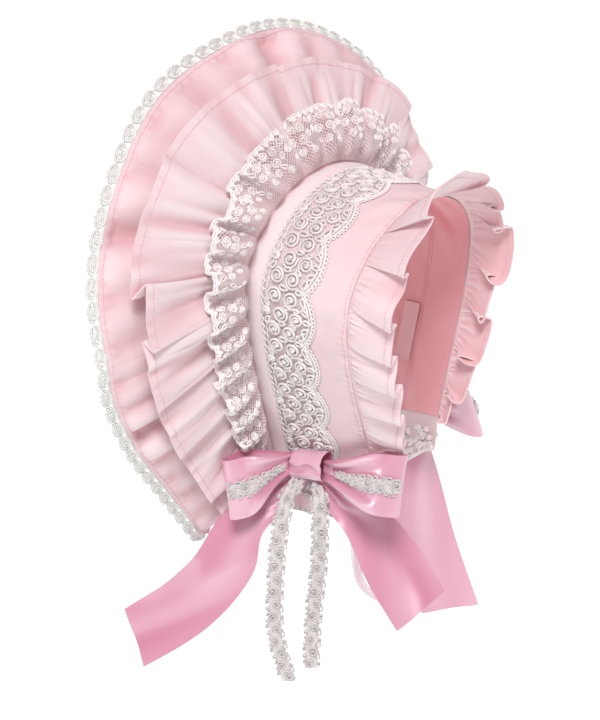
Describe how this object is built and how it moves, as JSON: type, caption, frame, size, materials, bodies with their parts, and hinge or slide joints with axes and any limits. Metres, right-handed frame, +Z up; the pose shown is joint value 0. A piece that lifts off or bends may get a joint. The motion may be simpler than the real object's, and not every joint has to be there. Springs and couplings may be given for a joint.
{
  "type": "brimmed headband",
  "caption": "Frilled cotton half bonnet with a wide halo brim, lace trim and a satin ribbon bow with hanging ties on each side.",
  "frame": {"origin": "top of the head hollow, half way between the front and the back seam of the crown", "axes": "+X the wearer's left, +Y towards the back of the head, +Z up; the face looks along -Y"},
  "size_m": [0.4012, 0.2244, 0.4993],
  "materials": {
    "cotton": "pale pink plain cotton, matt",
    "lining": "dusky pink plain cotton, matt",
    "lace": "warm white corded cotton lace, matt",
    "satin": "deep pink polyester satin, glossy"
  },
  "bodies": {
    "root": {"brim": "cotton", "wide_ruffle": "cotton", "crown_shell": "cotton", "front_band": "cotton", "back_ruffle": "cotton", "cuff_frill_left": "cotton", "cuff_frill_right": "cotton", "lining": "lining", "label": "lining", "brim_edge_lace": "lace", "lace_ruffle": "lace", "crown_lace": "lace", "hem_lace_left": "lace", "hem_lace_right": "lace", "cuff_lace_left": "lace", "cuff_lace_right": "lace", "knot_left": "satin", "loop_front_left": "satin", "loop_back_left": "satin", "tail_front_left": "satin", "tail_back_left": "satin", "lace_front_left": "lace", "lace_back_left": "lace", "lace_tail_front_left": "lace", "lace_tail_back_left": "lace", "knot_right": "satin", "loop_front_right": "satin", "loop_back_right": "satin", "tail_front_right": "satin", "tail_back_right": "satin", "lace_front_right": "lace", "lace_back_right": "lace", "lace_tail_front_right": "lace", "lace_tail_back_right": "lace"}
  },
  "joints": []
}
